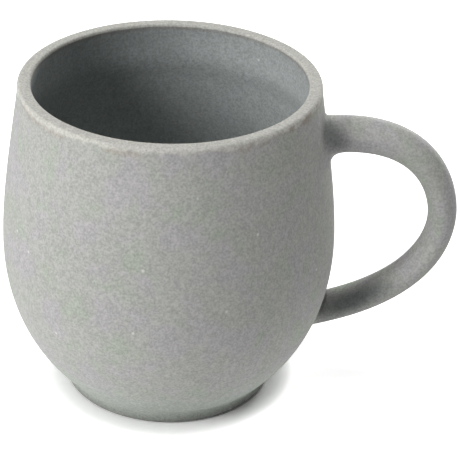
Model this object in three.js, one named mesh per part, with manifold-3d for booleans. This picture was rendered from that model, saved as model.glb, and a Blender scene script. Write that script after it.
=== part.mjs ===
// Stoneware coffee mug: a thrown round-bellied cup on a turned foot ring, with a pulled
// loop handle held on by two joints of clay slip. Millimetres, +Z up.
// The foot stands on z = 0, and the origin is the middle of the footprint of the cup and
// its handle together. The handle points along +X.
import * as THREE from "three";
import { mergeVertices } from "three/addons/utils/BufferGeometryUtils.js";
import Module from "manifold-3d";

const wasm = await Module();
wasm.setup();

// Cup outside
const cupHeight = 88.9;
const bellyRadius = 45;
const bellyHeight = 42.5;
const rimRadius = 39.8;
const bowlStartRadius = 29.2;
const bowlStartAngle = 43.2;
const bowlStartPull = 13.5;
const bellyPullDown = 16.1;
const bellyPullUp = 16.7;
const neckPull = 4.1;

// Cup wall, floor and lip
const bellyWall = 3.8;
const rimWall = 3.5;
const floorThickness = 4;
const floorFlatRadius = 17;
const floorPull = 13;
const innerBellyPull = 20;
const lipOuterRound = 0.9;
const lipInnerRound = 0.6;

// Foot ring, turned on the underside
const footHeight = 3.6;
const footRadius = 29.1;
const footRingWidth = 4.6;
const footOuterRound = 1.6;
const footInnerChamfer = 0.5;

// Handle: its centre line leaves the wall at the upper joint, turns at the grip and
// comes back to the wall at the lower joint
const upperJointBelowRim = 13.6;
const upperJointAngle = 8.2;
const upperJointPull = 27;
const gripHeight = 53.1;
const gripPullUp = 7.5;
const gripPullDown = 10.4;
const fingerGap = 24.3;
const lowerJointHeight = 21.7;
const lowerJointAngle = 17;
const lowerJointPull = 25.6;

// Handle section: thickness in the plane of the loop, width across it
const thicknessAtUpperJoint = 9.7;
const thicknessAtGrip = 7.7;
const thicknessAtLowerJoint = 7.4;
const handleWidth = 12.2;

// Slip joints: the clay slip between the wall and the handle's two ends
const slipThickness = 1.6;
const upperSlipFlareAbove = 0.5;
const upperSlipFlareBelow = 2.2;
const lowerSlipFlareAbove = 0.5;
const lowerSlipFlareBelow = 0.6;
const pieceGap = 0.3;

// Fineness of the faceted surfaces
const roundSegments = 60;
const curveSteps = 10;
const lipSteps = 4;
const handleSteps = 40;
const sectionSides = 20;
const slipSteps = 10;

const clay = (color) => new THREE.MeshStandardMaterial({ color, roughness: 0.9, metalness: 0 });
const radians = THREE.MathUtils.degToRad;

// The cup's outer curve, from the edge of its flat underside up to the lip
function outerCurve() {
  const angle = radians(bowlStartAngle);
  const bowl = new THREE.CubicBezierCurve(
    new THREE.Vector2(bowlStartRadius, footHeight),
    new THREE.Vector2(
      bowlStartRadius + bowlStartPull * Math.cos(angle),
      footHeight + bowlStartPull * Math.sin(angle),
    ),
    new THREE.Vector2(bellyRadius, bellyHeight - bellyPullDown),
    new THREE.Vector2(bellyRadius, bellyHeight),
  );
  const lipStart = cupHeight - lipOuterRound;
  const neck = new THREE.CubicBezierCurve(
    new THREE.Vector2(bellyRadius, bellyHeight),
    new THREE.Vector2(bellyRadius, bellyHeight + bellyPullUp),
    new THREE.Vector2(rimRadius, lipStart - neckPull),
    new THREE.Vector2(rimRadius, lipStart),
  );
  return [...bowl.getPoints(curveSteps), ...neck.getPoints(curveSteps).slice(1)];
}

// The cup's inner curve, from the lip down to the flat of the floor
function innerCurve() {
  const lipEnd = cupHeight - lipInnerRound;
  const innerRim = rimRadius - rimWall;
  const innerBelly = bellyRadius - bellyWall;
  const floor = footHeight + floorThickness;
  const neck = new THREE.CubicBezierCurve(
    new THREE.Vector2(innerRim, lipEnd),
    new THREE.Vector2(innerRim, lipEnd - neckPull),
    new THREE.Vector2(innerBelly, bellyHeight + bellyPullUp),
    new THREE.Vector2(innerBelly, bellyHeight),
  );
  const bowl = new THREE.CubicBezierCurve(
    new THREE.Vector2(innerBelly, bellyHeight),
    new THREE.Vector2(innerBelly, bellyHeight - innerBellyPull),
    new THREE.Vector2(floorFlatRadius + floorPull, floor),
    new THREE.Vector2(floorFlatRadius, floor),
  );
  return [...neck.getPoints(curveSteps), ...bowl.getPoints(curveSteps).slice(1)];
}

// A quarter of a circle from one angle to the next, without its first point
function quarter(centreX, centreY, radius, startAngle) {
  const points = [];
  for (let i = 1; i <= lipSteps; i++) {
    const angle = radians(startAngle + (90 * i) / lipSteps);
    points.push(
      new THREE.Vector2(centreX + radius * Math.cos(angle), centreY + radius * Math.sin(angle)),
    );
  }
  return points;
}

// A profile of (radius, height) points turned about the Z axis
function turned(profile) {
  return new THREE.LatheGeometry(profile, roundSegments).rotateX(Math.PI / 2);
}

function cupGeometry() {
  const floor = footHeight + floorThickness;
  const outerLip = rimRadius - lipOuterRound;
  const innerLip = rimRadius - rimWall + lipInnerRound;
  return turned([
    new THREE.Vector2(0, footHeight),
    ...outerCurve(),
    ...quarter(outerLip, cupHeight - lipOuterRound, lipOuterRound, 0),
    new THREE.Vector2(innerLip, cupHeight),
    ...quarter(innerLip, cupHeight - lipInnerRound, lipInnerRound, 90),
    ...innerCurve().slice(1),
    new THREE.Vector2(0, floor),
  ]);
}

function footGeometry() {
  const inner = footRadius - footRingWidth;
  const roundStart = footRadius - footOuterRound;
  const profile = [
    new THREE.Vector2(inner, footInnerChamfer),
    new THREE.Vector2(inner + footInnerChamfer, 0),
    new THREE.Vector2(roundStart, 0),
    ...quarter(roundStart, footOuterRound, footOuterRound, 270),
    new THREE.Vector2(footRadius, footHeight),
    new THREE.Vector2(inner, footHeight),
  ];
  return turned([...profile, profile[0].clone()]);
}

// The cup filled in and grown by a distance, which cuts what is fixed to its wall
function grownCup(distance) {
  const points = outerCurve();
  const grown = points.map((point, i) => {
    const before = points[Math.max(i - 1, 0)];
    const after = points[Math.min(i + 1, points.length - 1)];
    const along = after.clone().sub(before).normalize();
    return new THREE.Vector2(point.x + distance * along.y, point.y - distance * along.x);
  });
  const top = cupHeight + distance;
  return turned([
    new THREE.Vector2(0, grown[0].y),
    ...grown,
    new THREE.Vector2(grown.at(-1).x, top),
    new THREE.Vector2(0, top),
  ]);
}

// The cup's outer radius at a height
function wallRadius(height) {
  const points = outerCurve();
  const next = Math.max(1, points.findIndex((point) => point.y >= height));
  const low = points[next - 1];
  const high = points[next];
  return THREE.MathUtils.mapLinear(height, low.y, high.y, low.x, high.x);
}

// The handle's centre line in the XZ plane, which runs on into the wall at both ends
function handlePath() {
  const upperJointHeight = cupHeight - upperJointBelowRim;
  const upper = new THREE.Vector2(wallRadius(upperJointHeight), upperJointHeight);
  const lower = new THREE.Vector2(wallRadius(lowerJointHeight), lowerJointHeight);
  const grip = new THREE.Vector2(bellyRadius + fingerGap + thicknessAtGrip / 2, gripHeight);
  const upperWay = new THREE.Vector2(1, 0).rotateAround(new THREE.Vector2(), radians(upperJointAngle));
  const lowerWay = new THREE.Vector2(1, 0).rotateAround(new THREE.Vector2(), radians(lowerJointAngle));
  const path = new THREE.CurvePath();
  path.add(new THREE.LineCurve(upper.clone().addScaledVector(upperWay, -bellyWall), upper));
  path.add(
    new THREE.CubicBezierCurve(
      upper,
      upper.clone().addScaledVector(upperWay, upperJointPull),
      new THREE.Vector2(grip.x, grip.y + gripPullUp),
      grip,
    ),
  );
  path.add(
    new THREE.CubicBezierCurve(
      grip,
      new THREE.Vector2(grip.x, grip.y - gripPullDown),
      lower.clone().addScaledVector(lowerWay, lowerJointPull),
      lower,
    ),
  );
  path.add(new THREE.LineCurve(lower, lower.clone().addScaledVector(lowerWay, -bellyWall)));
  return path;
}

// The handle's thickness at a share of its length: a smooth curve through the three values
function thicknessAt(share) {
  return (
    thicknessAtUpperJoint * (1 - share) * (1 - 2 * share) +
    thicknessAtGrip * 4 * share * (1 - share) +
    thicknessAtLowerJoint * share * (2 * share - 1)
  );
}

// The slip's flare: greatest at the wall, gone where the handle starts. The rise runs from
// -1 under the handle to 1 on top of it.
function flareAt(radius, height, rise, flareBelow, flareAbove) {
  const away = (radius - wallRadius(height)) / (slipThickness + 2 * pieceGap);
  const flare = THREE.MathUtils.mapLinear(rise, -1, 1, flareBelow, flareAbove);
  return flare * (1 - THREE.MathUtils.clamp(away, 0, 1)) ** 2;
}

// A closed tube of oval section along a stretch of the handle, flared towards the wall
function handleTube(fromShare, toShare, steps, flareBelow, flareAbove) {
  const path = handlePath();
  const positions = [];
  const faces = [];
  for (let i = 0; i <= steps; i++) {
    const share = fromShare + ((toShare - fromShare) * i) / steps;
    const centre = path.getPointAt(share);
    const along = path.getTangentAt(share);
    for (let j = 0; j < sectionSides; j++) {
      const turn = (2 * Math.PI * j) / sectionSides;
      const inPlane = (thicknessAt(share) / 2) * Math.cos(turn);
      const across = (handleWidth / 2) * Math.sin(turn);
      const x = centre.x - along.y * inPlane;
      const z = centre.y + along.x * inPlane;
      const rise = Math.sign(along.x) * Math.cos(turn);
      const grow = flareAt(Math.hypot(x, across), z, rise, flareBelow, flareAbove);
      positions.push(
        x - along.y * grow * Math.cos(turn),
        across + grow * Math.sin(turn),
        z + along.x * grow * Math.cos(turn),
      );
    }
  }
  for (let i = 0; i < steps; i++) {
    for (let j = 0; j < sectionSides; j++) {
      const a = i * sectionSides + j;
      const b = i * sectionSides + ((j + 1) % sectionSides);
      faces.push(a, b + sectionSides, b, a, a + sectionSides, b + sectionSides);
    }
  }
  const last = steps * sectionSides;
  for (let j = 1; j < sectionSides - 1; j++) {
    faces.push(0, j, j + 1);
    faces.push(last, last + j + 1, last + j);
  }
  const geometry = new THREE.BufferGeometry();
  geometry.setAttribute("position", new THREE.Float32BufferAttribute(positions, 3));
  geometry.setIndex(faces);
  return geometry;
}

function solidOf(geometry) {
  const bare = geometry.clone();
  bare.deleteAttribute("normal");
  bare.deleteAttribute("uv");
  const merged = mergeVertices(bare, 1e-4);
  return new wasm.Manifold(
    new wasm.Mesh({
      numProp: 3,
      vertProperties: new Float32Array(merged.attributes.position.array),
      triVerts: new Uint32Array(merged.index.array),
    }),
  );
}

function geometryOf(solid) {
  const mesh = solid.getMesh();
  const geometry = new THREE.BufferGeometry();
  geometry.setAttribute("position", new THREE.Float32BufferAttribute(mesh.vertProperties, 3));
  geometry.setIndex(new THREE.BufferAttribute(mesh.triVerts, 1));
  geometry.computeVertexNormals();
  return geometry;
}

// The handle between its two joints
function handleGeometry() {
  const reach = pieceGap + slipThickness + pieceGap;
  const tube = solidOf(handleTube(0, 1, handleSteps, 0, 0));
  return geometryOf(tube.subtract(solidOf(grownCup(reach))));
}

// The slip at one end of the handle: a pad on the wall, wider at the wall than at the handle
function slipGeometry(isUpper) {
  const stretch = (2 * bellyWall + slipThickness) / handlePath().getLength();
  const tube = isUpper
    ? handleTube(0, stretch, slipSteps, upperSlipFlareBelow, upperSlipFlareAbove)
    : handleTube(1 - stretch, 1, slipSteps, lowerSlipFlareBelow, lowerSlipFlareAbove);
  const outside = solidOf(grownCup(pieceGap + slipThickness));
  const inside = solidOf(grownCup(pieceGap));
  return geometryOf(solidOf(tube).intersect(outside).subtract(inside));
}

function piece(name, geometry, color) {
  const mesh = new THREE.Mesh(geometry, clay(color));
  mesh.name = name;
  return mesh;
}

const gripReach = bellyRadius + fingerGap + thicknessAtGrip;
const mug = new THREE.Group();
mug.position.x = (bellyRadius - gripReach) / 2;
mug.add(piece("cup_body", cupGeometry(), 0xb9bab6));
mug.add(piece("foot_ring", footGeometry(), 0xa3a7a2));
mug.add(piece("handle", handleGeometry(), 0xa2a2a0));
mug.add(piece("upper_slip_joint", slipGeometry(true), 0xa9a9a6));
mug.add(piece("lower_slip_joint", slipGeometry(false), 0x9a9a97));

const part = new THREE.Group();
part.add(mug);
export default part;
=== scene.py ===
"""A stoneware coffee mug on a white table: cup, foot ring, handle and the two slip joints."""

import math

import bmesh
import bpy
from bpy.props import FloatProperty, FloatVectorProperty, IntProperty, PointerProperty
from bpy.types import Operator, Panel, PropertyGroup
from mathutils import Matrix, Vector
from mathutils.bvhtree import BVHTree
from mathutils.geometry import interpolate_bezier


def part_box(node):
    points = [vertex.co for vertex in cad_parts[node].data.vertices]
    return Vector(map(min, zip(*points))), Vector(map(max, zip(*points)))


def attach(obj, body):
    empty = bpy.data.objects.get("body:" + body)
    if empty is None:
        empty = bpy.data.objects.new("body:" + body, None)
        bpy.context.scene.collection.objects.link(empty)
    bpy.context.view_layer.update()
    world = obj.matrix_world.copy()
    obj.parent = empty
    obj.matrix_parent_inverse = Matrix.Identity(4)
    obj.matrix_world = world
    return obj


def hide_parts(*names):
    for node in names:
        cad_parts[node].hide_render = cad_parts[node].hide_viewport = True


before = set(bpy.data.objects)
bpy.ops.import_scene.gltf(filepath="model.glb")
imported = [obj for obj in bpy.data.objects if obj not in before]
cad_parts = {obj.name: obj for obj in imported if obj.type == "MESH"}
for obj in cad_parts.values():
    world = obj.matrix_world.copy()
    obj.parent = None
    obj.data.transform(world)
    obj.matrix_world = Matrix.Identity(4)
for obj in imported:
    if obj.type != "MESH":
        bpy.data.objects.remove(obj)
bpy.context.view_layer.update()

bl_info = {
    "name": "Stoneware mug",
    "version": (1, 0, 0),
    "blender": (4, 5, 0),
    "location": "3D View > Sidebar > Mug",
    "description": "Makes a thrown stoneware mug with a pulled handle, and its stage",
    "category": "Object",
}

CUP_LOW, CUP_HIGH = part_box("cup_body")
FOOT_LOW, FOOT_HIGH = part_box("foot_ring")
HANDLE_LOW, HANDLE_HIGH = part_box("handle")
AXIS_X = (CUP_LOW.x + CUP_HIGH.x) / 2
BELLY_RADIUS = (CUP_HIGH.y - CUP_LOW.y) / 2
MM = 0.001

# How much of the throwing lines' depth is left: outside, a rib has smoothed them
SMOOTHED, UNSMOOTHED = 0.2, 1.0

# Where the soft boxes stand: degrees round the cup from the handle, and degrees up
LAMP_PLACES = {
    "left_front": (225, 30),
    "left": (202, 20),
    "top": (0, 90),
    "back": (72, 8),
    "right": (10, 8),
}


def length(name, description, millimetres):
    """A length setting, given in millimetres."""
    return FloatProperty(
        name=name, description=description, default=millimetres * MM, unit="LENGTH", precision=4
    )


def angle(name, description, degrees):
    """An angle setting, given in degrees."""
    return FloatProperty(
        name=name, description=description, default=math.radians(degrees), subtype="ANGLE"
    )


def number(name, description, value):
    """A plain number setting."""
    return FloatProperty(name=name, description=description, default=value)


def colour(name, description, value):
    """A colour setting."""
    return FloatVectorProperty(
        name=name, description=description, default=value, size=3, min=0, max=1, subtype="COLOR"
    )


class MugCupSizes(PropertyGroup):
    """Sizes of the cup and its foot ring, which the frame's box doesn't give."""

    belly_height: length("Belly height", "Height of the cup's widest place", 42.5)
    rim_radius: length("Rim radius", "Outer radius under the lip", 39.8)
    bowl_radius: length("Bowl start", "Radius where the bowl leaves the foot", 29.2)
    bowl_pull: length("Bowl pull", "How far the bowl's curve runs on from the foot", 13.5)
    belly_pull_down: length("Belly pull down", "How far the belly's curve runs down", 16.1)
    belly_pull_up: length("Belly pull up", "How far the belly's curve runs up", 16.7)
    neck_pull: length("Neck pull", "How far the rim's curve runs down", 4.1)
    belly_wall: length("Belly wall", "Wall thickness at the belly", 3.8)
    rim_wall: length("Rim wall", "Wall thickness at the rim", 3.5)
    floor: length("Floor", "Thickness of the floor", 4)
    floor_flat: length("Floor flat", "Radius of the flat of the floor", 17)
    floor_pull: length("Floor pull", "How far the floor's curve runs out", 13)
    inner_pull: length("Inner pull", "How far the inner belly's curve runs down", 20)
    lip_outer: length("Lip outer round", "Radius of the lip's outer edge", 0.9)
    lip_inner: length("Lip inner round", "Radius of the lip's inner edge", 0.6)
    edge_round: length("Edge round", "How far the cup's lower edge is taken off", 0.3)
    ring_width: length("Ring width", "Width of the foot ring", 4.6)
    ring_outer: length("Ring outer round", "Radius of the foot ring's outer edge", 1.6)
    ring_inner: length("Ring inner round", "Radius of the foot ring's inner edge", 0.5)
    ring_fillet: length("Ring fillet", "How far the clay's fillet over the ring reaches", 1.6)
    ridge_height: length("Ridge height", "Height of the ridge that the rib left inside", 77)
    ridge_depth: length("Ridge depth", "How far that ridge stands in", 0.6)
    line_depth: length("Throwing lines", "Depth of the lines that fingers leave", 0.16)
    line_spacing: length("Line spacing", "Height from one line to the next", 3.2)
    sway: length("Sway", "How far the wall is from round", 0.3)
    bowl_angle: angle("Bowl angle", "Slope of the bowl where it leaves the foot", 43.2)
    sides: IntProperty(name="Sides", description="Steps round the cup", default=192, min=24)
    seed: IntProperty(name="Seed", description="Picks the unevenness", default=4)


class MugHandleSizes(PropertyGroup):
    """The handle's centre line, its section and the slip that holds it."""

    upper_below: length("Upper end", "How far under the rim the handle leaves the wall", 13.6)
    upper_pull: length("Upper pull", "How far the upper end runs straight on", 27)
    grip_height: length("Grip height", "Height of the grip's outermost place", 53.1)
    grip_pull_up: length("Grip pull up", "How far the grip's curve runs up", 7.5)
    grip_pull_down: length("Grip pull down", "How far the grip's curve runs down", 10.4)
    lower_height: length("Lower end", "Height where the handle meets the wall again", 21.7)
    lower_pull: length("Lower pull", "How far the lower end runs straight on", 25.6)
    thickness_upper: length("Upper thickness", "Thickness at the upper end", 9.7)
    thickness_grip: length("Grip thickness", "Thickness at the grip", 7.7)
    thickness_lower: length("Lower thickness", "Thickness at the lower end", 7.4)
    fillet_upper_above: length("Upper slip, above", "Fillet on top of the upper end", 0.8)
    fillet_upper_below: length("Upper slip, below", "Fillet under the upper end", 4.4)
    fillet_lower_above: length("Lower slip, above", "Fillet on top of the lower end", 0.8)
    fillet_lower_below: length("Lower slip, below", "Fillet under the lower end", 0.8)
    unevenness: length("Unevenness", "How far the pulled clay is from smooth", 0.1)
    upper_angle: angle("Upper angle", "Rise at the upper end", 8.2)
    lower_angle: angle("Lower angle", "Rise at the lower end", 17)
    steps: IntProperty(name="Steps", description="Rings along the handle", default=220, min=20)
    sides: IntProperty(name="Sides", description="Sides of the section", default=72, min=12)


class MugClay(PropertyGroup):
    """Colours of the speckled clay, and of the light and shade painted on it."""

    clay: colour("Clay", "The clay's own grey", (0.422, 0.427, 0.403))
    cool: colour("Cool patches", "Faint lavender patches", (0.43, 0.421, 0.427))
    green: colour("Green patches", "Faint green patches", (0.4, 0.43, 0.376))
    low: colour("Near the foot", "Paler, greener clay low down", (0.472, 0.51, 0.466))
    # Inside: a cooler clay, and a little darker as painted shade in the cup's hollow
    inside: colour("Inside", "The cooler clay inside the cup", (0.385, 0.41, 0.407))
    # Inside the neck: painted light, paler where the light falls in under the rim
    neck: colour("Inside the neck", "Paler clay inside, above the ridge", (0.43, 0.455, 0.453))
    # Painted shadow: the dark streaks by the handle's two ends, where the cup shades the handle
    painted_shadow: colour("Streak", "Dark streaks by the handle's two ends", (0.12, 0.135, 0.135))
    # Painted shade: darker towards the foot's bottom edge, which stands in the mug's shadow
    painted_foot_shade: colour("Foot edge", "Darker clay where the foot rolls under", (0.2, 0.205, 0.19))
    rim: colour("Rim", "Paler, warmer clay on the lip", (0.55, 0.545, 0.505))
    worn: colour("Worn edge", "Buff clay under the lip's outer edge", (0.4, 0.36, 0.31))
    singed: colour("Singed", "Brown marks on the lip by the handle", (0.33, 0.285, 0.235))
    # Painted shade: the darker strip inside, under the lip
    shaded: colour("Under the lip", "Darker strip inside, under the lip", (0.33, 0.322, 0.305))
    pale_speck: colour("Pale specks", "Rare white grains", (0.75, 0.75, 0.72))
    dark_speck: colour("Dark specks", "Fine dark grains", (0.26, 0.265, 0.25))
    grain: number("Grain", "Strength of the fine grain", 0.185)
    roughness: number("Roughness", "How matte it is", 0.88)


class MugStage(PropertyGroup):
    """The camera, the table and the studio lamps."""

    camera_away: length("Camera away", "Level distance from the cup's axis", 418.7)
    camera_height: length("Camera height", "Height above the table", 284.2)
    lens: number("Lens", "Focal length in mm", 138.9)
    camera_turn: angle("Camera turn", "Where the camera stands round the cup", 5)
    heading: angle("Heading", "Which way the camera looks, from the Y axis", -2.74)
    pitch: angle("Pitch", "How far down the camera looks", 29.82)
    roll: angle("Roll", "How far the camera leans", 1.58)
    left_front: number("Left front", "Soft box in watts", 6.5)
    left: number("Left", "Low soft box in watts", 4.4)
    top: number("Top", "Overhead soft box in watts", 6.3)
    back: number("Back", "Low soft box behind, in watts", 11.0)
    right: number("Right", "Low soft box on the right, in watts", 1.0)
    lamp_away: length("Lamps away", "Distance of the soft boxes", 1200)
    lamp_size: length("Lamp size", "Side of each soft box", 400)
    table: number("Table", "How much light the table gives back", 1.15)
    table_glow: number("Table glow", "How white it looks", 0.68)
    # Painted contact shadow on the table: how far it reaches, and how fast it darkens
    painted_shadow_reach: length("Contact", "How far the shadow under the mug spreads", 6.5)
    painted_shadow_darkening: number("Contact depth", "How fast that shadow darkens towards the foot", 2.7)


def quarter_arc(centre_x, centre_z, radius, start, steps=8):
    """Points of a quarter circle from a start angle in degrees, its first point left out."""
    points = []
    for i in range(1, steps + 1):
        turn = math.radians(start + 90 * i / steps)
        points.append(
            Vector((centre_x + radius * math.cos(turn), centre_z + radius * math.sin(turn)))
        )
    return points


def bezier(start, start_way, end_way, end, steps):
    """Points of a Bezier curve in the profile's plane, its first point left out."""
    points = interpolate_bezier(
        start.to_3d(), start_way.to_3d(), end_way.to_3d(), end.to_3d(), steps
    )
    return [point.to_2d() for point in points[1:]]


def outer_profile(cup, steps=70):
    """The cup's outer curve from the foot to the lip, as (radius, height) points."""
    start = Vector((cup.bowl_radius, FOOT_HIGH.z))
    way = Vector((math.cos(cup.bowl_angle), math.sin(cup.bowl_angle)))
    belly = Vector((BELLY_RADIUS, cup.belly_height))
    rim = Vector((cup.rim_radius, CUP_HIGH.z - cup.lip_outer))
    bowl = bezier(
        start, start + cup.bowl_pull * way, belly - Vector((0, cup.belly_pull_down)), belly, steps
    )
    neck = bezier(
        belly, belly + Vector((0, cup.belly_pull_up)), rim - Vector((0, cup.neck_pull)), rim, steps
    )
    return [start, *bowl, *neck]


def ridged(cup, point):
    """A point of the inner curve, moved in where the ridge under the rim is."""
    reach_up, reach_down = 9 * MM, 6 * MM
    reach = reach_up if point.y > cup.ridge_height else reach_down
    away = min(abs(point.y - cup.ridge_height) / reach, 1)
    swell = (1 - away) * (1 - away) * (1 + 2 * away)
    return Vector((point.x - cup.ridge_depth * swell, point.y))


def inner_profile(cup, steps=90):
    """The cup's inner curve from the lip to the flat of the floor."""
    rim = Vector((cup.rim_radius - cup.rim_wall, CUP_HIGH.z - cup.lip_inner))
    belly = Vector((BELLY_RADIUS - cup.belly_wall, cup.belly_height))
    floor = Vector((cup.floor_flat, FOOT_HIGH.z + cup.floor))
    neck = bezier(
        rim, rim - Vector((0, cup.neck_pull)), belly + Vector((0, cup.belly_pull_up)), belly, steps
    )
    bowl = bezier(
        belly, belly - Vector((0, cup.inner_pull)), floor + Vector((cup.floor_pull, 0)), floor, steps
    )
    return [rim, *(ridged(cup, point) for point in neck), *bowl]


def cup_profile(cup):
    """The cup's profile from axis to axis, as (point, share of line depth, 1 inside or 0)."""
    outer = outer_profile(cup)
    lip_x = cup.rim_radius - cup.lip_outer
    inner_lip_x = cup.rim_radius - cup.rim_wall + cup.lip_inner
    lip = quarter_arc(lip_x, CUP_HIGH.z - cup.lip_outer, cup.lip_outer, 0)
    lip.append(Vector(((lip_x + inner_lip_x) / 2, CUP_HIGH.z)))
    lip.append(Vector((inner_lip_x, CUP_HIGH.z)))
    lip += quarter_arc(inner_lip_x, CUP_HIGH.z - cup.lip_inner, cup.lip_inner, 90)
    floor = FOOT_HIGH.z + cup.floor
    flat = [Vector((cup.floor_flat * share, floor)) for share in (0.8, 0.6, 0.4, 0.2, 0)]
    under = [Vector((cup.bowl_radius * share, FOOT_HIGH.z)) for share in (0, 0.3, 0.6, 0.8)]
    edge = Vector((cup.bowl_radius - cup.edge_round, FOOT_HIGH.z))
    outside = [(point, SMOOTHED, 0.0) for point in [*under, edge, *outer[1:], *lip]]
    inside = [(point, UNSMOOTHED, 1.0) for point in [*inner_profile(cup)[1:], *flat]]
    return outside + inside


def ring_profile(cup):
    """The foot ring's profile, a closed one like the cup's, with a fillet into the bowl."""
    pull = 0.67
    radius = (FOOT_HIGH.y - FOOT_LOW.y) / 2
    inner = radius - cup.ring_width
    wide, narrow = cup.ring_outer, cup.ring_inner
    way = Vector((math.cos(cup.bowl_angle), math.sin(cup.bowl_angle)))
    corner = Vector((radius, FOOT_HIGH.z - (cup.bowl_radius - radius) * math.tan(cup.bowl_angle)))
    start = corner - Vector((0, cup.ring_fillet))
    end = corner + way * cup.ring_fillet
    fillet = bezier(start, start.lerp(corner, pull), end.lerp(corner, pull), end, 8)
    points = [
        Vector((inner, narrow)),
        *quarter_arc(inner + narrow, narrow, narrow, 180),
        *quarter_arc(radius - wide, wide, wide, 270),
        start,
        *fillet,
        Vector((radius - wide, end.y)),
        Vector((inner, end.y)),
    ]
    return [(point, SMOOTHED, 0.0) for point in points]


def line_mesh(name, places, closed, attributes):
    """A chain of edges through places, with point attributes as {name: values}."""
    mesh = bpy.data.meshes.new(name)
    edges = [(i, i + 1) for i in range(len(places) - 1)]
    if closed:
        edges.append((len(places) - 1, 0))
    mesh.from_pydata([tuple(place) for place in places], edges, [])
    for key, values in attributes.items():
        mesh.attributes.new(key, "FLOAT", "POINT").data.foreach_set("value", values)
    return mesh


def new_tree(name, inputs):
    """A geometry node tree with its input and output nodes and named inputs."""
    tree = bpy.data.node_groups.new(name, "GeometryNodeTree")
    for label, kind in inputs:
        tree.interface.new_socket(name=label, in_out="INPUT", socket_type=kind)
    tree.interface.new_socket(name="Clay shape", in_out="OUTPUT", socket_type="NodeSocketGeometry")
    return tree, tree.nodes.new("NodeGroupInput"), tree.nodes.new("NodeGroupOutput")


def add(tree, kind, links=None, **values):
    """A new node with its properties set and its inputs linked or given a value."""
    made = tree.nodes.new(kind)
    for key, value in values.items():
        setattr(made, key, value)
    for key, value in (links or {}).items():
        if isinstance(value, bpy.types.NodeSocket):
            tree.links.new(value, made.inputs[key])
        else:
            made.inputs[key].default_value = value
    return made


def maths(tree, operation, first, second=0.0, third=0.0):
    """The result of a Math node."""
    made = add(tree, "ShaderNodeMath", {0: first, 1: second, 2: third}, operation=operation)
    return made.outputs[0]


def product(tree, value, *factors):
    """A value multiplied by each factor in turn."""
    for factor in factors:
        value = maths(tree, "MULTIPLY", value, factor)
    return value


def vector(tree, x, y, z):
    """A vector from its three values."""
    return add(tree, "ShaderNodeCombineXYZ", {"X": x, "Y": y, "Z": z}).outputs[0]


def vector_maths(tree, operation, values):
    """The vector that a Vector Math node makes."""
    return add(tree, "ShaderNodeVectorMath", values, operation=operation).outputs["Vector"]


def along_line(tree, name):
    """A value that the line of a piece holds at each of its points."""
    made = add(tree, "GeometryNodeInputNamedAttribute", {"Name": name}, data_type="FLOAT")
    return made.outputs[0]


def unevenness(tree, where, seed):
    """A soft noise around 0.5, which a seed picks."""
    values = {"Vector": where, "W": seed, "Scale": 1.0, "Detail": 1.0}
    return add(tree, "ShaderNodeTexNoise", values, noise_dimensions="4D").outputs[0]


def captured(tree, geometry, kind, label, value):
    """A geometry with a value captured at each of its points, and that value."""
    made = tree.nodes.new("GeometryNodeCaptureAttribute")
    made.capture_items.new(kind, label)
    tree.links.new(geometry, made.inputs[0])
    tree.links.new(value, made.inputs[1])
    return made.outputs[0], made.outputs[1]


def finish_tree(tree, geometry, group_in, group_out):
    """The tree's end: real geometry with its clay on it."""
    real = add(tree, "GeometryNodeRealizeInstances", {0: geometry})
    clay = add(
        tree,
        "GeometryNodeSetMaterial",
        {"Geometry": real.outputs[0], "Material": group_in.outputs["Clay"]},
    )
    tree.links.new(clay.outputs[0], group_out.inputs[0])
    return tree


def turning_tree():
    """The wheel: turns a profile round the cup's axis, with throwing lines and a slight sway."""
    tree, group_in, group_out = new_tree(
        "turned_clay",
        [
            ("Profile", "NodeSocketGeometry"),
            ("Sides", "NodeSocketInt"),
            ("Axis X", "NodeSocketFloat"),
            ("Line depth", "NodeSocketFloat"),
            ("Line spacing", "NodeSocketFloat"),
            ("Sway", "NodeSocketFloat"),
            ("Seed", "NodeSocketInt"),
            ("Clay", "NodeSocketMaterial"),
        ],
    )
    sizes = group_in.outputs
    place = tree.nodes.new("GeometryNodeInputPosition").outputs[0]
    share = tree.nodes.new("GeometryNodeSplineParameter").outputs["Factor"]
    profile = add(tree, "GeometryNodeMeshToCurve", {0: sizes["Profile"]}).outputs[0]
    circle = add(tree, "GeometryNodeCurvePrimitiveCircle", {"Resolution": sizes["Sides"]})
    profile, point = captured(tree, profile, "VECTOR", "Point", place)
    rail, turn = captured(tree, circle.outputs[0], "FLOAT", "Turn", share)
    swept = add(tree, "GeometryNodeCurveToMesh", {"Curve": rail, "Profile Curve": profile})

    line_drift, sway_rate, touching = 0.35, 12.0, 1e-6
    angle_round = maths(tree, "MULTIPLY", turn, 2 * math.pi)
    cosine = maths(tree, "COSINE", angle_round)
    sine = maths(tree, "SINE", angle_round)
    from_axis, _, height = add(tree, "ShaderNodeSeparateXYZ", {0: point}).outputs
    line_way = vector(
        tree,
        product(tree, cosine, line_drift),
        product(tree, sine, line_drift),
        maths(tree, "DIVIDE", height, sizes["Line spacing"]),
    )
    sway_way = vector(tree, cosine, sine, product(tree, height, sway_rate))
    lines = unevenness(tree, line_way, sizes["Seed"])
    sways = unevenness(tree, sway_way, sizes["Seed"])
    depth = product(tree, sizes["Line depth"], along_line(tree, "throwing"))
    line_cut = product(tree, maths(tree, "SUBTRACT", 1.0, lines), depth)
    sway_cut = product(tree, maths(tree, "SUBTRACT", 1.0, sways), sizes["Sway"])
    kept = maths(tree, "SUBTRACT", 1.0, maths(tree, "ADD", line_cut, sway_cut))
    radius = product(tree, from_axis, kept)
    spot = vector(
        tree,
        maths(tree, "MULTIPLY_ADD", radius, cosine, sizes["Axis X"]),
        product(tree, radius, sine),
        height,
    )
    moved = {"Geometry": swept.outputs[0], "Position": spot}
    shaped = add(tree, "GeometryNodeSetPosition", moved).outputs[0]
    merged = {"Geometry": shaped, "Distance": touching}
    joined = add(tree, "GeometryNodeMergeByDistance", merged).outputs[0]
    return finish_tree(tree, joined, group_in, group_out)


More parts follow.
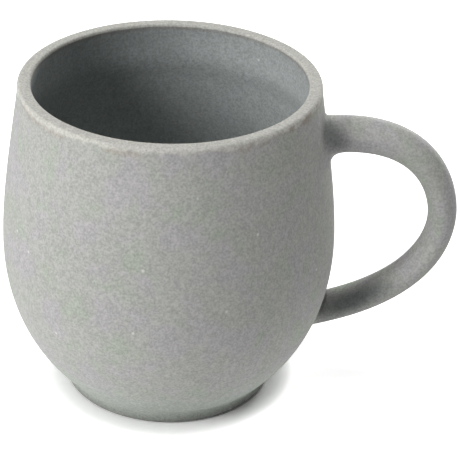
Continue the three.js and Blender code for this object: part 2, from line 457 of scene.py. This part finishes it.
def pulling_tree():
    """The pulled handle: an oval section that follows a path and changes along it."""
    tree, group_in, group_out = new_tree(
        "pulled_clay",
        [
            ("Path", "NodeSocketGeometry"),
            ("Sides", "NodeSocketInt"),
            ("Unevenness", "NodeSocketFloat"),
            ("Clay", "NodeSocketMaterial"),
        ],
    )
    sizes = group_in.outputs
    place = tree.nodes.new("GeometryNodeInputPosition").outputs[0]
    path = add(tree, "GeometryNodeMeshToCurve", {0: sizes["Path"]}).outputs[0]
    path, centre = captured(tree, path, "VECTOR", "Centre", place)
    section = add(tree, "GeometryNodeCurvePrimitiveCircle", {"Resolution": sizes["Sides"], "Radius": 1.0})
    swept = add(
        tree,
        "GeometryNodeCurveToMesh",
        {"Curve": path, "Profile Curve": section.outputs[0], "Fill Caps": True},
    )
    out = vector_maths(tree, "SUBTRACT", {0: place, 1: centre})
    upward = add(tree, "ShaderNodeSeparateXYZ", {0: out}).outputs["Z"]
    # Stores how far each point faces up, for the handle's painted light and shade
    marked = add(
        tree,
        "GeometryNodeStoreNamedAttribute",
        {"Geometry": swept.outputs[0], "Name": "topside", "Value": upward},
        data_type="FLOAT",
        domain="POINT",
    )
    waves_per_metre = 45.0
    half_thickness = along_line(tree, "half_thickness")
    scale = vector(tree, half_thickness, along_line(tree, "half_width"), half_thickness)
    wave = noise(tree, centre, waves_per_metre, 1.0)
    swell = product(tree, maths(tree, "SUBTRACT", wave, 1.0), sizes["Unevenness"])
    scaled = vector_maths(tree, "MULTIPLY", {0: out, 1: scale})
    swollen = vector_maths(tree, "SCALE", {0: out, "Scale": swell})
    moved = vector_maths(tree, "ADD", {0: scaled, 1: swollen})
    spot = vector_maths(tree, "ADD", {0: centre, 1: moved})
    placed = {"Geometry": marked.outputs[0], "Position": spot}
    shaped = add(tree, "GeometryNodeSetPosition", placed).outputs[0]
    return finish_tree(tree, shaped, group_in, group_out)


def grown_piece(name, mesh, tree, values):
    """A plain mesh object made by a geometry node tree from a mesh."""
    line = bpy.data.objects.new(name + "_line", mesh)
    bpy.context.scene.collection.objects.link(line)
    modifier = line.modifiers.new("clay", "NODES")
    modifier.node_group = tree
    sockets = {item.name: item.identifier for item in tree.interface.items_tree}
    for label, value in values.items():
        modifier[sockets[label]] = value
    shaped = line.evaluated_get(bpy.context.evaluated_depsgraph_get())
    made = bpy.data.meshes.new_from_object(shaped)
    bpy.data.objects.remove(line)
    return placed_piece(name, made)


def placed_piece(name, mesh):
    """A finished piece's object at the origin, closed, smooth and facing outwards."""
    shape = bmesh.new()
    shape.from_mesh(mesh)
    bmesh.ops.remove_doubles(shape, verts=shape.verts, dist=1e-7)
    bmesh.ops.recalc_face_normals(shape, faces=shape.faces)
    if any(not edge.is_manifold for edge in shape.edges):
        raise RuntimeError(f"{name} isn't closed")
    if shape.calc_volume(signed=True) < 0:
        bmesh.ops.reverse_faces(shape, faces=shape.faces)
    shape.to_mesh(mesh)
    shape.free()
    mesh.name = name
    mesh.shade_smooth()
    piece = bpy.data.objects.new(name, mesh)
    bpy.context.scene.collection.objects.link(piece)
    return piece


def hand_over(piece, node):
    """The piece stands for a CAD node and rides with it."""
    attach(piece, "root")
    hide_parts(node)


def mixed(tree, share, first, second, blend="MIX"):
    """The colour of a Mix node."""
    made = add(tree, "ShaderNodeMix", {0: share, 6: first, 7: second}, data_type="RGBA", blend_type=blend)
    return made.outputs[2]


def ranged(tree, value, low, high, to_low=0.0, to_high=1.0):
    """A value taken from one range to another, and held at its ends."""
    made = add(
        tree,
        "ShaderNodeMapRange",
        {0: value, 1: low, 2: high, 3: to_low, 4: to_high},
        interpolation_type="SMOOTHSTEP",
    )
    return made.outputs[0]


def noise(tree, where, scale, detail=2.0, rough=0.5):
    """The value of a noise texture of that scale, in cells for each metre."""
    made = add(
        tree,
        "ShaderNodeTexNoise",
        {"Vector": where, "Scale": scale, "Detail": detail, "Roughness": rough},
    )
    return made.outputs[0]


def specks(tree, where, scale, size, share):
    """Round specks: 1 inside a speck of that size, in that share of the cells."""
    cells = add(tree, "ShaderNodeTexVoronoi", {"Vector": where, "Scale": scale})
    inside = ranged(tree, cells.outputs["Distance"], size * scale, size * scale * 0.5)
    split = add(tree, "ShaderNodeSeparateColor", {0: cells.outputs["Color"]})
    picked = maths(tree, "LESS_THAN", split.outputs[0], share)
    return maths(tree, "MULTIPLY", inside, picked)


def shifted(tree, where):
    """The same coordinates from another origin, so that two patterns don't follow each other."""
    return add(tree, "ShaderNodeMapping", {"Vector": where, "Location": (0.3, 0.5, 0.7)}).outputs[0]


def flattened(tree, where):
    """Coordinates that stretch a pattern level, as fingers leave it in turned clay."""
    return add(tree, "ShaderNodeMapping", {"Vector": where, "Scale": (0.08, 0.08, 1)}).outputs[0]


def distance(tree, where):
    """How far a place is from the origin."""
    return add(tree, "ShaderNodeVectorMath", {0: where}, operation="LENGTH").outputs["Value"]


def painted_shadow(tree, where, across, up, slope, reach):
    """A soft painted shadow on the handle's side, from its place, slope and reach: 1 in its middle."""
    near_side = -5.5 * MM
    mapped = add(
        tree,
        "ShaderNodeMapping",
        {
            "Vector": where,
            "Location": (AXIS_X + across * MM, near_side, up * MM),
            "Rotation": (0, math.radians(-slope), 0),
            "Scale": tuple(size * MM for size in reach),
        },
        vector_type="TEXTURE",
    )
    return ranged(tree, distance(tree, mapped.outputs[0]), 1.0, 0.2)


def rgba(value):
    """The colour with an alpha of 1."""
    return (*value, 1.0)


def layered(tree, tone, layers):
    """A tone with colours laid over it in turn, each by its share."""
    for share, value in layers:
        tone = mixed(tree, share, tone, rgba(value))
    return tone


def toned(tree, tone, factor):
    """A tone made lighter or darker by a factor."""
    grey = add(tree, "ShaderNodeCombineColor", {0: factor, 1: factor, 2: factor}).outputs[0]
    return mixed(tree, 1.0, tone, grey, "MULTIPLY")


class ClayPlace:
    """What the clay's material knows of each place on the mug."""

    def __init__(self, tree):
        self.where = tree.nodes.new("ShaderNodeTexCoord").outputs["Object"]
        self.across, _, self.height = add(tree, "ShaderNodeSeparateXYZ", {0: self.where}).outputs
        self.below_lip = maths(tree, "SUBTRACT", CUP_HIGH.z, self.height)
        self.inside = add(tree, "ShaderNodeAttribute", attribute_name="inside").outputs["Fac"]
        self.topside = add(tree, "ShaderNodeAttribute", attribute_name="topside").outputs["Fac"]
        self.uneven = noise(tree, self.where, 260.0, 3.0)
        self.coarse = noise(tree, self.where, 620.0, 2.0)
        self.fine = noise(tree, self.where, 1700.0, 2.0, 0.6)


def body_layers(tree, clay, place):
    """Faint patches, and how the clay changes near the foot and inside the cup, with painted shade at the
    foot's bottom edge and inside the cup, and painted light inside the neck.
    """
    cool_noise = noise(tree, place.where, 95.0, 3.0, 0.6)
    green_noise = noise(tree, shifted(tree, place.where), 110.0, 3.0, 0.6)
    # Painted light: paler inside, towards the rim
    neck = ranged(tree, place.below_lip, 15 * MM, 8 * MM)
    return (
        (ranged(tree, cool_noise, 0.44, 0.62), clay.cool),
        (ranged(tree, green_noise, 0.5, 0.68), clay.green),
        (ranged(tree, place.height, 22 * MM, 3 * MM), clay.low),
        # Painted shade: darker towards the foot's bottom edge
        (ranged(tree, place.height, 5 * MM, 0.6 * MM, 0.0, 0.85), clay.painted_foot_shade),
        # Partly painted shade: the cooler inside clay is also a little darker
        (product(tree, place.inside, 0.9), clay.inside),
        (product(tree, neck, place.inside), clay.neck),
    )


def lip_layers(tree, clay, place):
    """The pale worn lip with its ragged edge, the painted shade inside under the lip, and the brown marks
    on it by the handle.
    """
    steeper = maths(tree, "MULTIPLY_ADD", place.inside, 1.6, 1.0)
    below = product(tree, place.below_lip, steeper)
    ragged = maths(tree, "MULTIPLY_ADD", place.uneven, 3.0 * MM, below)
    # Painted shade: a darker strip inside, under the lip
    painted_shade_under_lip = ranged(tree, ragged, 7 * MM, 4.5 * MM)
    worn_patch = ranged(tree, noise(tree, place.where, 120.0, 2.0), 0.46, 0.6)
    worn_band = ranged(tree, ragged, 4.6 * MM, 3.4 * MM)
    singed_patch = ranged(tree, noise(tree, place.where, 380.0, 3.0, 0.6), 0.48, 0.58)
    off_the_top = ranged(tree, place.below_lip, 0.2 * MM, 0.7 * MM)
    singed_band = ranged(tree, ragged, 4.0 * MM, 3.0 * MM)
    by_handle = ranged(tree, place.across, AXIS_X + 26 * MM, AXIS_X + 33 * MM)
    outside = maths(tree, "SUBTRACT", 0.7, place.inside)
    return (
        (product(tree, painted_shade_under_lip, place.inside, 0.7), clay.shaded),
        (product(tree, worn_patch, worn_band, 0.55), clay.worn),
        (ranged(tree, ragged, 3.4 * MM, 2.2 * MM), clay.rim),
        (product(tree, singed_patch, off_the_top, singed_band, by_handle, outside), clay.singed),
    )


def handle_painted_light_and_shade(tree, clay, place, tone):
    """The handle's painted light and shade: lighter on its upper side and darker underneath, and painted
    shadows by its two ends.
    """
    # Painted light and shade: upper side lighter, underside darker, most strongly low down
    painted_light_strength = ranged(tree, place.height, 35 * MM, 60 * MM, 0.55, 0.27)
    tone = toned(tree, tone, maths(tree, "MULTIPLY_ADD", place.topside, painted_light_strength, 1.0))
    # Painted shadows by the handle's lower and upper ends
    lower = painted_shadow(tree, place.where, across=51, up=28.1, slope=29, reach=(16, 6, 4.5))
    upper = painted_shadow(tree, place.where, across=42.3, up=78, slope=-52, reach=(9, 6, 5))
    layers = ((product(tree, lower, 0.85), clay.painted_shadow), (product(tree, upper, 0.6), clay.painted_shadow))
    return layered(tree, tone, layers)


def speckled(tree, clay, place, tone):
    """The fine grain, with dark specks and rare pale ones."""
    grain = maths(tree, "ADD", product(tree, place.fine, 0.7), product(tree, place.coarse, 0.3))
    tone = toned(tree, tone, ranged(tree, grain, 0.32, 0.68, 1 - clay.grain, 1 + clay.grain))
    dark = specks(tree, place.where, 420.0, 0.3 * MM, 0.5)
    pale = specks(tree, place.where, 140.0, 0.55 * MM, 0.8)
    layers = ((product(tree, dark, 0.5), clay.dark_speck), (product(tree, pale, 0.6), clay.pale_speck))
    return layered(tree, tone, layers)


def relief(tree, place):
    """The bump of the grain, and of the rings that the throwing leaves inside."""
    rings = noise(tree, flattened(tree, place.where), 900.0, 2.0)
    grain = maths(tree, "MULTIPLY_ADD", place.fine, 0.6, place.uneven)
    height = maths(tree, "ADD", grain, product(tree, rings, place.inside, 2.4))
    values = {"Height": height, "Strength": 0.22, "Distance": 0.12 * MM}
    return add(tree, "ShaderNodeBump", values).outputs[0]


def stoneware(clay):
    """Matte speckled grey stoneware, paler and warmer on the lip, with light and shade painted on the
    handle, at the foot and inside the cup.
    """
    rough_spread = 0.06
    material = bpy.data.materials.new("speckled_stoneware")
    material.use_nodes = True
    tree = material.node_tree
    shader = tree.nodes["Principled BSDF"].inputs
    place = ClayPlace(tree)
    tone = layered(tree, rgba(clay.clay), body_layers(tree, clay, place))
    tone = layered(tree, tone, lip_layers(tree, clay, place))
    tone = handle_painted_light_and_shade(tree, clay, place, tone)
    tone = speckled(tree, clay, place, tone)
    smooth, rough = clay.roughness - rough_spread, clay.roughness + rough_spread
    tree.links.new(tone, shader["Base Color"])
    tree.links.new(ranged(tree, place.coarse, 0.3, 0.7, smooth, rough), shader["Roughness"])
    tree.links.new(relief(tree, place), shader["Normal"])
    shader["Specular IOR Level"].default_value = 0.3
    return material


def clay_material():
    """The mug's one clay, made once and shared by its pieces."""
    found = bpy.data.materials.get("speckled_stoneware")
    return found or stoneware(bpy.context.scene.mug_clay)


def turned_piece(name, profile, closed):
    """A piece turned from a profile of (radius, height) points on the wheel."""
    cup = bpy.context.scene.mug_cup
    tree = bpy.data.node_groups.get("turned_clay") or turning_tree()
    points, throwing, inside = zip(*profile)
    places = [(point.x, 0, point.y) for point in points]
    mesh = line_mesh(name, places, closed, {"throwing": throwing, "inside": inside})
    values = {
        "Sides": cup.sides,
        "Axis X": AXIS_X,
        "Line depth": cup.line_depth / BELLY_RADIUS,
        "Line spacing": cup.line_spacing,
        "Sway": cup.sway / BELLY_RADIUS,
        "Seed": cup.seed,
        "Clay": clay_material(),
    }
    return grown_piece(name, mesh, tree, values)


def wall_radius(cup, height):
    """The cup's outer radius at a height."""
    points = outer_profile(cup)
    for low, high in zip(points, points[1:]):
        if low.y <= height <= high.y:
            return low.x + (high.x - low.x) * (height - low.y) / (high.y - low.y)
    raise RuntimeError("a handle's end lies above or below the cup's wall")


def handle_path(cup, handle):
    """The handle's centre line, which runs on into the wall at both ends."""
    wall_share = 0.7
    upper_height = CUP_HIGH.z - handle.upper_below
    upper = Vector((wall_radius(cup, upper_height), upper_height))
    lower = Vector((wall_radius(cup, handle.lower_height), handle.lower_height))
    grip = Vector((HANDLE_HIGH.x - AXIS_X - handle.thickness_grip / 2, handle.grip_height))
    upper_way = Vector((math.cos(handle.upper_angle), math.sin(handle.upper_angle)))
    lower_way = Vector((math.cos(handle.lower_angle), math.sin(handle.lower_angle)))
    into_wall = cup.belly_wall * wall_share
    half = handle.steps // 2
    points = [upper - upper_way * into_wall, upper]
    points += bezier(
        upper,
        upper + upper_way * handle.upper_pull,
        grip + Vector((0, handle.grip_pull_up)),
        grip,
        half,
    )
    points += bezier(
        grip,
        grip - Vector((0, handle.grip_pull_down)),
        lower + lower_way * handle.lower_pull,
        lower,
        half,
    )
    points.append(lower - lower_way * into_wall)
    return [Vector((AXIS_X + point.x, 0, point.y)) for point in points]


def shares_along(points):
    """How far along the line each point lies, from 0 to 1, and the line's length."""
    gone = [0.0]
    for before, after in zip(points, points[1:]):
        gone.append(gone[-1] + (after - before).length)
    return [value / gone[-1] for value in gone], gone[-1]


def thickness_at(handle, share):
    """The handle's thickness at a share of its length, a curve through three values."""
    return (
        handle.thickness_upper * (1 - share) * (1 - 2 * share)
        + handle.thickness_grip * 4 * share * (1 - share)
        + handle.thickness_lower * share * (2 * share - 1)
    )


class HandleSkin:
    """The handle's surface: a point for a share of its length and a turn round its section."""

    def __init__(self, cup, handle):
        self.handle = handle
        self.points = handle_path(cup, handle)
        self.shares, self.length = shares_along(self.points)
        self.half_width = (HANDLE_HIGH.y - HANDLE_LOW.y) / 2

    def centre(self, share):
        """The centre line's point and direction at a share of its length."""
        for i in range(1, len(self.shares)):
            if self.shares[i] >= share or i == len(self.shares) - 1:
                low, high = self.shares[i - 1], self.shares[i]
                part = (share - low) / (high - low)
                along = (self.points[i] - self.points[i - 1]).normalized()
                return self.points[i - 1].lerp(self.points[i], part), along

    def at(self, share, turn):
        """The surface's point and outward direction."""
        centre, along = self.centre(share)
        upward = Vector((-along.z, 0, along.x))
        half_thickness = thickness_at(self.handle, share) / 2
        spot = centre + upward * half_thickness * math.cos(turn)
        spot.y += self.half_width * math.sin(turn)
        out = upward * math.cos(turn) / half_thickness
        out.y += math.sin(turn) / self.half_width
        return spot, out.normalized()


def leaves_wall(skin, wall, turn, start, away):
    """The share of the handle's length at which its surface comes out of the cup's wall."""
    search, halvings = 14 * MM, 24
    near, far = start, start + away * search / skin.length
    for _ in range(halvings):
        middle = (near + far) / 2
        spot, _ = skin.at(middle, turn)
        found, normal, _, _ = wall.find_nearest(spot)
        if (spot - found).dot(normal) > 0:
            far = middle
        else:
            near = middle
    return far


def slip_section(skin, wall, turn, share, away, below, above, rings):
    """A section of the slip, from deep in the wall over the fillet to inside the handle."""
    pull, proud, deep = 0.667, 0.01 * MM, 1.2 * MM
    past_wall_by, under_wall, near_wall = 0.7 * MM, 0.25 * MM, 0.05 * MM
    past_handle_by, under_handle, near_handle = 0.9 * MM, 0.2 * MM, 0.03 * MM
    corner, out = skin.at(share, turn)
    _, normal, _, _ = wall.find_nearest(corner)
    size = (below + above) / 2 + (above - below) / 2 * out.z
    on_handle, handle_out = skin.at(share + away * size / skin.length, turn)
    past_handle, past_out = skin.at(share + away * (size + past_handle_by) / skin.length, turn)
    flat = (out - normal * out.dot(normal)).normalized()
    on_wall = wall.find_nearest(corner + flat * size)[0]
    past_wall = wall.find_nearest(corner + flat * (size + past_wall_by))[0]
    curve = interpolate_bezier(
        on_wall + normal * proud,
        on_wall.lerp(corner, pull),
        on_handle.lerp(corner, pull),
        on_handle + handle_out * proud,
        rings,
    )
    sunk_corner = corner - normal * deep
    sunk_centre = skin.centre(share)[0] - normal * deep
    return [
        sunk_corner.lerp(sunk_centre, 0.5),
        past_wall - normal * under_wall,
        past_wall.lerp(on_wall, 0.5) - normal * near_wall,
        *curve,
        on_handle.lerp(past_handle, 0.5) - handle_out * near_handle,
        past_handle - past_out * under_handle,
    ]


def skinned_mesh(name, sections):
    """A closed mesh through sections that stand in a ring, with a cap at each end."""
    shape = bmesh.new()
    sides = len(sections)
    rows = [[shape.verts.new(spot) for spot in section] for section in sections]
    loops = list(zip(*rows))
    for inner, outer in zip(loops, loops[1:]):
        for j in range(sides):
            k = (j + 1) % sides
            shape.faces.new((inner[j], inner[k], outer[k], outer[j]))
    for loop in (loops[0], loops[-1]):
        middle = shape.verts.new(sum((vert.co for vert in loop), Vector()) / sides)
        for j in range(sides):
            shape.faces.new((loop[j], loop[(j + 1) % sides], middle))
    mesh = bpy.data.meshes.new(name)
    shape.to_mesh(mesh)
    shape.free()
    return mesh


def slip_mesh(name, skin, wall, at_upper, below, above, rings=9, sides=96):
    """A slip joint: a fillet all round one end of the handle, between the wall and the handle."""
    start, away = (0.0, 1) if at_upper else (1.0, -1)
    sections = []
    for j in range(sides):
        turn = 2 * math.pi * j / sides
        share = leaves_wall(skin, wall, turn, start, away)
        sections.append(slip_section(skin, wall, turn, share, away, below, above, rings))
    mesh = skinned_mesh(name, sections)
    mesh.materials.append(clay_material())
    return mesh


class MUG_OT_cup(Operator):
    """Throw the cup: one shell with a floor and a rounded lip"""

    bl_idname = "mug.cup"
    bl_label = "Cup"

    def execute(self, context):
        cup = turned_piece("thrown_cup", cup_profile(context.scene.mug_cup), False)
        hand_over(cup, "cup_body")
        return {"FINISHED"}


class MUG_OT_foot(Operator):
    """Turn the foot ring that the cup stands on"""

    bl_idname = "mug.foot"
    bl_label = "Foot ring"

    def execute(self, context):
        foot = turned_piece("turned_foot", ring_profile(context.scene.mug_cup), True)
        hand_over(foot, "foot_ring")
        return {"FINISHED"}


class MUG_OT_handle(Operator):
    """Pull the handle along its loop"""

    bl_idname = "mug.handle"
    bl_label = "Handle"

    def execute(self, context):
        sizes = context.scene.mug_handle
        skin = HandleSkin(context.scene.mug_cup, sizes)
        path = line_mesh(
            "handle_path",
            skin.points,
            False,
            {
                "half_thickness": [thickness_at(sizes, share) / 2 for share in skin.shares],
                "half_width": [skin.half_width for _ in skin.shares],
            },
        )
        values = {"Sides": sizes.sides, "Unevenness": sizes.unevenness, "Clay": clay_material()}
        handle = grown_piece("pulled_handle", path, pulling_tree(), values)
        hand_over(handle, "handle")
        return {"FINISHED"}


class MUG_OT_slip_joints(Operator):
    """Smooth the slip round the handle's two ends"""

    bl_idname = "mug.slip_joints"
    bl_label = "Slip joints"

    def execute(self, context):
        cup = bpy.data.objects.get("thrown_cup")
        if cup is None:
            raise RuntimeError("make the cup first: the slip follows its wall")
        faces = [tuple(face.vertices) for face in cup.data.polygons]
        wall = BVHTree.FromPolygons([vert.co for vert in cup.data.vertices], faces)
        sizes = context.scene.mug_handle
        skin = HandleSkin(context.scene.mug_cup, sizes)
        joints = (
            ("upper_slip", "upper_slip_joint", True, sizes.fillet_upper_below, sizes.fillet_upper_above),
            ("lower_slip", "lower_slip_joint", False, sizes.fillet_lower_below, sizes.fillet_lower_above),
        )
        for name, node, at_upper, below, above in joints:
            slip = placed_piece(name, slip_mesh(name, skin, wall, at_upper, below, above))
            hand_over(slip, node)
        return {"FINISHED"}


def white_for_camera(tree, plain, white):
    """A shader that the camera, gloss and glass see as one thing, and light as another."""
    seen = tree.nodes.new("ShaderNodeLightPath").outputs
    looks = maths(tree, "MAXIMUM", seen["Is Camera Ray"], seen["Is Glossy Ray"])
    looks = maths(tree, "MAXIMUM", looks, seen["Is Transmission Ray"])
    return add(tree, "ShaderNodeMixShader", {0: looks, 1: plain, 2: white}).outputs[0]


def table_material(stage):
    """A bright white table that keeps the mug's soft shadow, partly real and partly a painted contact
    shadow, and is clear from below.
    """
    material = bpy.data.materials.new("white_table")
    material.use_nodes = True
    tree = material.node_tree
    tree.nodes.clear()
    base = add(tree, "ShaderNodeBsdfDiffuse", {"Color": (1, 1, 1, 1)})
    spare = stage.table - 1
    more = add(tree, "ShaderNodeBsdfDiffuse", {"Color": (spare, spare, spare, 1)})
    plain = add(tree, "ShaderNodeAddShader", {0: base.outputs[0], 1: more.outputs[0]})
    # Painted contact shadow: the glow that the camera sees dims near the mug by ambient occlusion; the
    # diffuse part keeps the real shadow
    near = add(tree, "ShaderNodeAmbientOcclusion", {"Distance": stage.painted_shadow_reach}, samples=24)
    outside_painted_shadow = maths(tree, "POWER", near.outputs["AO"], stage.painted_shadow_darkening)
    where = tree.nodes.new("ShaderNodeTexCoord").outputs["Object"]
    far_off = ranged(tree, distance(tree, where), 350 * MM, 1000 * MM)
    # The glow, dimmed near the mug by the painted contact shadow
    glow = maths(tree, "MULTIPLY_ADD", outside_painted_shadow, stage.table_glow, far_off)
    shine = add(tree, "ShaderNodeEmission", {"Color": (1, 1, 1, 1), "Strength": glow})
    white = add(tree, "ShaderNodeAddShader", {0: plain.outputs[0], 1: shine.outputs[0]})
    surface = white_for_camera(tree, plain.outputs[0], white.outputs[0])
    under = tree.nodes.new("ShaderNodeNewGeometry").outputs["Backfacing"]
    clear = add(tree, "ShaderNodeBsdfTransparent")
    shown = add(tree, "ShaderNodeMixShader", {0: under, 1: surface, 2: clear.outputs[0]})
    out = tree.nodes.new("ShaderNodeOutputMaterial")
    tree.links.new(shown.outputs[0], out.inputs["Surface"])
    return material


def add_table(stage):
    """The flat white table."""
    reach = 3000 * MM
    mesh = bpy.data.meshes.new("table")
    corners = [(-reach, -reach, 0), (reach, -reach, 0), (reach, reach, 0), (-reach, reach, 0)]
    mesh.from_pydata(corners, [], [(0, 1, 2, 3)])
    mesh.materials.append(table_material(stage))
    table = bpy.data.objects.new("table", mesh)
    bpy.context.scene.collection.objects.link(table)


def add_lamp(stage, name, azimuth, elevation, watts):
    """A square soft box that looks at the mug from a direction given in degrees."""
    aim = Vector((AXIS_X, 0, CUP_HIGH.z / 2))
    turn, rise = math.radians(azimuth), math.radians(elevation)
    way = Vector((math.cos(rise) * math.cos(turn), math.cos(rise) * math.sin(turn), math.sin(rise)))
    lamp = bpy.data.lights.new(name, "AREA")
    lamp.shape = "SQUARE"
    lamp.size = stage.lamp_size
    lamp.energy = watts
    holder = bpy.data.objects.new(name, lamp)
    holder.location = aim + stage.lamp_away * way
    holder.rotation_euler = way.to_track_quat("Z", "Y").to_euler()
    bpy.context.scene.collection.objects.link(holder)


def add_world():
    """White behind everything, which gives no light of its own."""
    world = bpy.data.worlds.new("studio")
    world.use_nodes = True
    tree = world.node_tree
    tree.nodes.clear()
    dark = add(tree, "ShaderNodeBackground", {"Color": (0, 0, 0, 1), "Strength": 0.0})
    white = add(tree, "ShaderNodeBackground", {"Color": (1, 1, 1, 1), "Strength": 1.0})
    shown = white_for_camera(tree, dark.outputs[0], white.outputs[0])
    out = tree.nodes.new("ShaderNodeOutputWorld")
    tree.links.new(shown, out.inputs["Surface"])
    bpy.context.scene.world = world


def add_camera(stage):
    """The camera, where the photograph was taken from."""
    flat = Vector((math.sin(stage.heading), math.cos(stage.heading), 0))
    right = Vector((flat.y, -flat.x, 0))
    up = Vector((0, 0, 1))
    forward = flat * math.cos(stage.pitch) - up * math.sin(stage.pitch)
    upright = flat * math.sin(stage.pitch) + up * math.cos(stage.pitch)
    leaning_right = right * math.cos(stage.roll) + upright * math.sin(stage.roll)
    leaning_up = upright * math.cos(stage.roll) - right * math.sin(stage.roll)
    camera = bpy.data.cameras.new("camera")
    camera.lens = stage.lens
    camera.clip_start = 0.01
    holder = bpy.data.objects.new("camera", camera)
    turn = Matrix((leaning_right, leaning_up, -forward)).transposed()
    place = Vector((
        AXIS_X + stage.camera_away * math.sin(stage.camera_turn),
        -stage.camera_away * math.cos(stage.camera_turn),
        stage.camera_height,
    ))
    holder.matrix_world = Matrix.Translation(place) @ turn.to_4x4()
    bpy.context.scene.collection.objects.link(holder)
    bpy.context.scene.camera = holder


class MUG_OT_stage(Operator):
    """Set the white table, the soft lamps and the camera"""

    bl_idname = "mug.stage"
    bl_label = "Stage"

    def execute(self, context):
        stage = context.scene.mug_stage
        add_table(stage)
        add_world()
        for key, (azimuth, elevation) in LAMP_PLACES.items():
            add_lamp(stage, key + "_lamp", azimuth, elevation, getattr(stage, key))
        add_camera(stage)
        context.scene.view_settings.view_transform = "Standard"
        return {"FINISHED"}


class MUG_PT_panel(Panel):
    """The mug's parts and sizes in the sidebar"""

    bl_idname = "MUG_PT_panel"
    bl_label = "Stoneware mug"
    bl_space_type = "VIEW_3D"
    bl_region_type = "UI"
    bl_category = "Mug"

    def draw(self, context):
        layout = self.layout
        for operator in OPERATORS:
            layout.operator(operator.bl_idname)
        for key, group in SETTINGS.items():
            box = layout.box()
            box.label(text=group.__name__)
            for name in group.__annotations__:
                box.prop(getattr(context.scene, key), name)


SETTINGS = {
    "mug_cup": MugCupSizes,
    "mug_handle": MugHandleSizes,
    "mug_clay": MugClay,
    "mug_stage": MugStage,
}
OPERATORS = (MUG_OT_cup, MUG_OT_foot, MUG_OT_handle, MUG_OT_slip_joints, MUG_OT_stage)


def register():
    for group in (*SETTINGS.values(), *OPERATORS, MUG_PT_panel):
        bpy.utils.register_class(group)
    for key, group in SETTINGS.items():
        setattr(bpy.types.Scene, key, PointerProperty(type=group))


def unregister():
    for key in SETTINGS:
        delattr(bpy.types.Scene, key)
    for group in reversed((*SETTINGS.values(), *OPERATORS, MUG_PT_panel)):
        bpy.utils.unregister_class(group)


def main():
    register()
    bpy.ops.mug.cup()
    bpy.ops.mug.foot()
    bpy.ops.mug.handle()
    bpy.ops.mug.slip_joints()
    bpy.ops.mug.stage()


if __name__ == "__main__":
    main()
